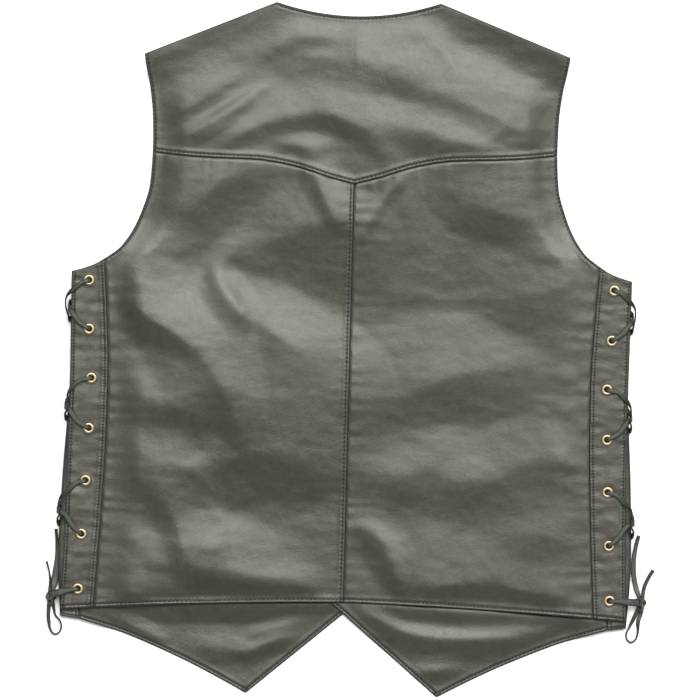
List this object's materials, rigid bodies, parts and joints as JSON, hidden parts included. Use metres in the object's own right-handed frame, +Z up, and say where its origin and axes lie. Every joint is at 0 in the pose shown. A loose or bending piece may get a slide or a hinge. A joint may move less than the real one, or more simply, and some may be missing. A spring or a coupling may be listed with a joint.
{
  "type": "leather vest",
  "caption": "Men's side-laced leather vest laid front down, with a pointed back yoke, lacing strips with brass eyelets, and front tips that show below the back hem.",
  "frame": {"origin": "on the surface that the vest lies on, under the middle of its outline without the laces", "axes": "+X across the back towards the wearer's right side, +Y from the hem towards the neck, +Z up out of the vest's back"},
  "size_m": [0.6093, 0.695, 0.0212],
  "materials": {
    "leather": "smooth, lightly waxed, semi-gloss",
    "brass": "polished",
    "thong": "matt, cut edges",
    "thread": "bonded sewing thread, slight sheen"
  },
  "bodies": {
    "root": {"back_yoke": "leather", "back_left": "leather", "back_right": "leather", "front_left": "leather", "front_right": "leather", "back_strip_left": "leather", "back_strip_right": "leather", "front_strip_left": "leather", "front_strip_right": "leather", "eyelet_back_left_1": "brass", "eyelet_back_left_2": "brass", "eyelet_back_left_3": "brass", "eyelet_back_left_4": "brass", "eyelet_back_left_5": "brass", "eyelet_back_left_6": "brass", "eyelet_back_left_7": "brass", "eyelet_back_right_1": "brass", "eyelet_back_right_2": "brass", "eyelet_back_right_3": "brass", "eyelet_back_right_4": "brass", "eyelet_back_right_5": "brass", "eyelet_back_right_6": "brass", "eyelet_back_right_7": "brass", "eyelet_front_left_1": "brass", "eyelet_front_left_2": "brass", "eyelet_front_left_3": "brass", "eyelet_front_left_4": "brass", "eyelet_front_left_5": "brass", "eyelet_front_left_6": "brass", "eyelet_front_left_7": "brass", "eyelet_front_right_1": "brass", "eyelet_front_right_2": "brass", "eyelet_front_right_3": "brass", "eyelet_front_right_4": "brass", "eyelet_front_right_5": "brass", "eyelet_front_right_6": "brass", "eyelet_front_right_7": "brass", "lace_run_left": "thong", "lace_run_right": "thong", "lace_knot_left": "thong", "lace_knot_right": "thong", "lace_loop_left": "thong", "lace_loop_right": "thong", "lace_tail_short_left": "thong", "lace_tail_short_right": "thong", "lace_tail_long_left": "thong", "lace_tail_long_right": "thong"}
  },
  "joints": []
}
